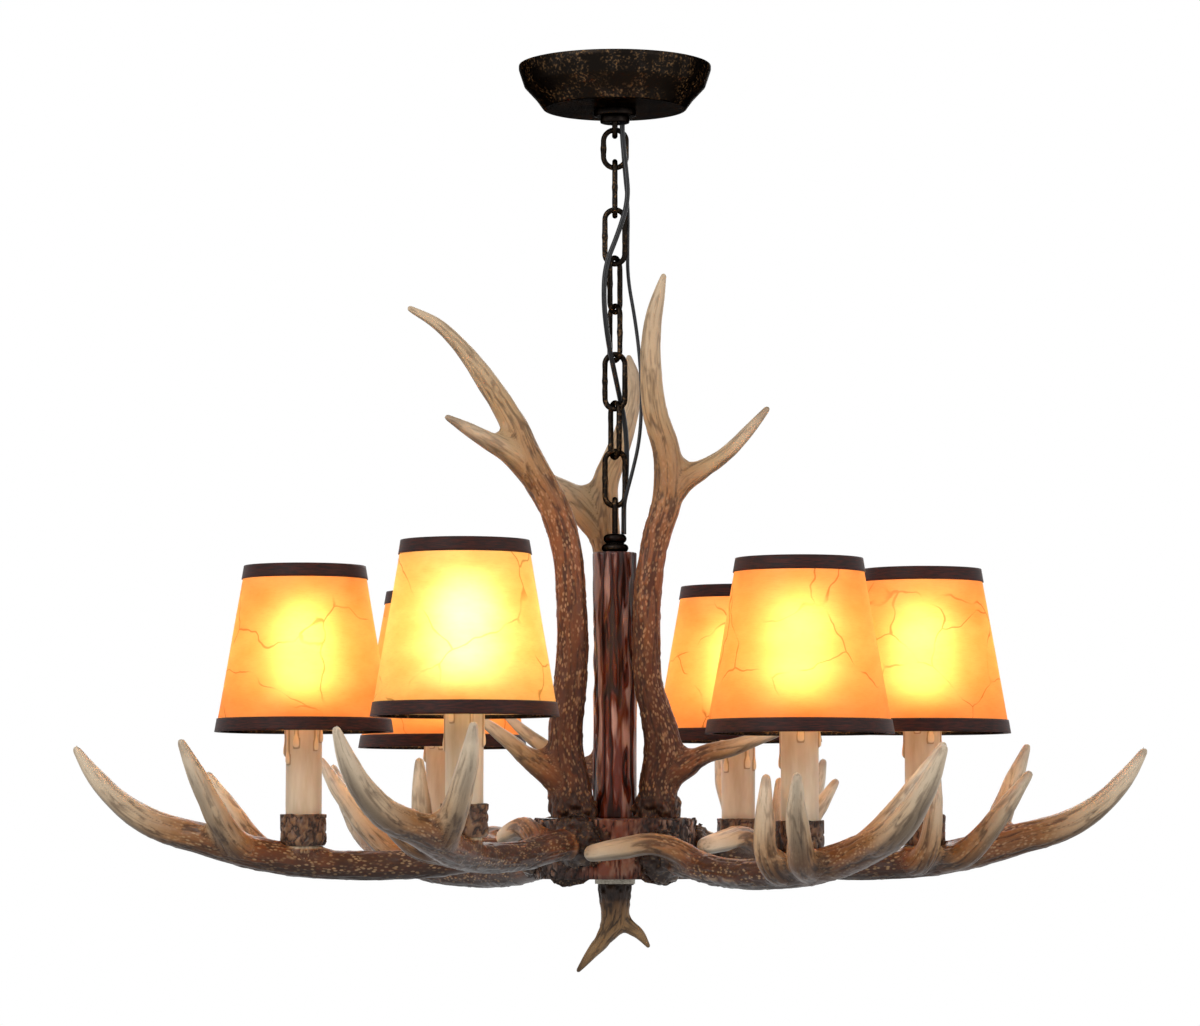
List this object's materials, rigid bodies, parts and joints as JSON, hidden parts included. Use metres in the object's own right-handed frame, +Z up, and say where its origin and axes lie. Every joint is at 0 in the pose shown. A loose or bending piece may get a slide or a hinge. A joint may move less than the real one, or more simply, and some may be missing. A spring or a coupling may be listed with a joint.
{
  "type": "antler chandelier",
  "caption": "Hanging chandelier of antler castings round a bark hub, with candle lights under clip-on cone shades, on a chain from a round ceiling canopy.",
  "frame": {"origin": "centre of the canopy's ceiling face, between the two ceiling screw holes", "axes": "+Z up into the ceiling, -Y to the front, +X to the right seen from the front; the chandelier hangs below the origin"},
  "size_m": [0.7512, 0.6678, 0.6391],
  "materials": {
    "blackened_steel": "satin",
    "plated_steel": "satin",
    "antler_resin": "satin",
    "bark_resin": "matte",
    "moulded_plastic": "gloss",
    "cord_sheath": "satin",
    "candle_card": "matte",
    "parchment": "satin",
    "ribbon": "matte",
    "bulb_glass": "frosted"
  },
  "bodies": {
    "canopy": {"ceiling_bracket": "plated_steel", "ground_screw": "plated_steel", "terminal_block": "moulded_plastic", "threaded_nipple": "plated_steel", "bracket_nut": "plated_steel", "canopy_cover": "blackened_steel", "canopy_flange": "blackened_steel", "canopy_collar": "blackened_steel", "canopy_loop": "blackened_steel"},
    "first_link": {"chain_link_1": "blackened_steel"},
    "chain": {"chain_links": "blackened_steel", "supply_cord": "cord_sheath", "earth_wire": "cord_sheath"},
    "luminaire": {"stem_eye": "blackened_steel", "column_knob": "blackened_steel", "column": "bark_resin", "stem_tube": "plated_steel", "hub_ring": "bark_resin", "hub_plate": "blackened_steel", "arm_screws": "plated_steel", "upright_screws": "plated_steel", "finial_washer": "blackened_steel", "antler_arm_1": "antler_resin", "antler_arm_2": "antler_resin", "antler_arm_3": "antler_resin", "antler_arm_4": "antler_resin", "antler_arm_5": "antler_resin", "antler_arm_6": "antler_resin", "upright_antler_left": "antler_resin", "upright_antler_right": "antler_resin", "upright_antler_back": "antler_resin", "finial_antler": "antler_resin", "candle_cups": "bark_resin", "candle_sleeve_1": "candle_card", "candle_sleeve_2": "candle_card", "candle_sleeve_3": "candle_card", "candle_sleeve_4": "candle_card", "candle_sleeve_5": "candle_card", "candle_sleeve_6": "candle_card", "lampholders": "moulded_plastic", "lamp_tubes": "plated_steel", "bulbs": "bulb_glass"},
    "shade_on_light_1": {"shade_1": "parchment", "shade_trim_1": "ribbon", "shade_clip_1": "blackened_steel"},
    "shade_on_light_2": {"shade_2": "parchment", "shade_trim_2": "ribbon", "shade_clip_2": "blackened_steel"},
    "shade_on_light_3": {"shade_3": "parchment", "shade_trim_3": "ribbon", "shade_clip_3": "blackened_steel"},
    "shade_on_light_4": {"shade_4": "parchment", "shade_trim_4": "ribbon", "shade_clip_4": "blackened_steel"},
    "shade_on_light_5": {"shade_5": "parchment", "shade_trim_5": "ribbon", "shade_clip_5": "blackened_steel"},
    "shade_on_light_6": {"shade_6": "parchment", "shade_trim_6": "ribbon", "shade_clip_6": "blackened_steel"}
  },
  "joints": [
    {"name": "chain_swing_side", "type": "hinge", "parent": "canopy", "child": "first_link", "pos_m": [0, 0, -0.05], "axis": [0, 1, 0], "range_deg": [-30, 30], "deforming": ["supply_cord", "earth_wire"]},
    {"name": "chain_swing_front", "type": "hinge", "parent": "first_link", "child": "chain", "pos_m": [0, 0, -0.0727], "axis": [1, 0, 0], "range_deg": [-30, 30], "deforming": ["supply_cord", "earth_wire"]},
    {"name": "luminaire_tilt", "type": "hinge", "parent": "chain", "child": "luminaire", "pos_m": [0, 0, -0.3121], "axis": [1, 0, 0], "range_deg": [-12, 12], "deforming": ["supply_cord", "earth_wire"]},
    {"name": "shade_turn_1", "type": "hinge", "parent": "luminaire", "child": "shade_on_light_1", "pos_m": [0.21617, 0.01891, -0.4198], "axis": [0, 0, 1], "continuous": true},
    {"name": "shade_turn_2", "type": "hinge", "parent": "luminaire", "child": "shade_on_light_2", "pos_m": [0.09171, 0.19667, -0.4218], "axis": [0, 0, 1], "continuous": true},
    {"name": "shade_turn_3", "type": "hinge", "parent": "luminaire", "child": "shade_on_light_3", "pos_m": [-0.12755, 0.17556, -0.4268], "axis": [0, 0, 1], "continuous": true},
    {"name": "shade_turn_4", "type": "hinge", "parent": "luminaire", "child": "shade_on_light_4", "pos_m": [-0.21617, -0.01891, -0.4198], "axis": [0, 0, 1], "continuous": true},
    {"name": "shade_turn_5", "type": "hinge", "parent": "luminaire", "child": "shade_on_light_5", "pos_m": [-0.09852, -0.19335, -0.4138], "axis": [0, 0, 1], "continuous": true},
    {"name": "shade_turn_6", "type": "hinge", "parent": "luminaire", "child": "shade_on_light_6", "pos_m": [0.12134, -0.1799, -0.4248], "axis": [0, 0, 1], "continuous": true}
  ]
}
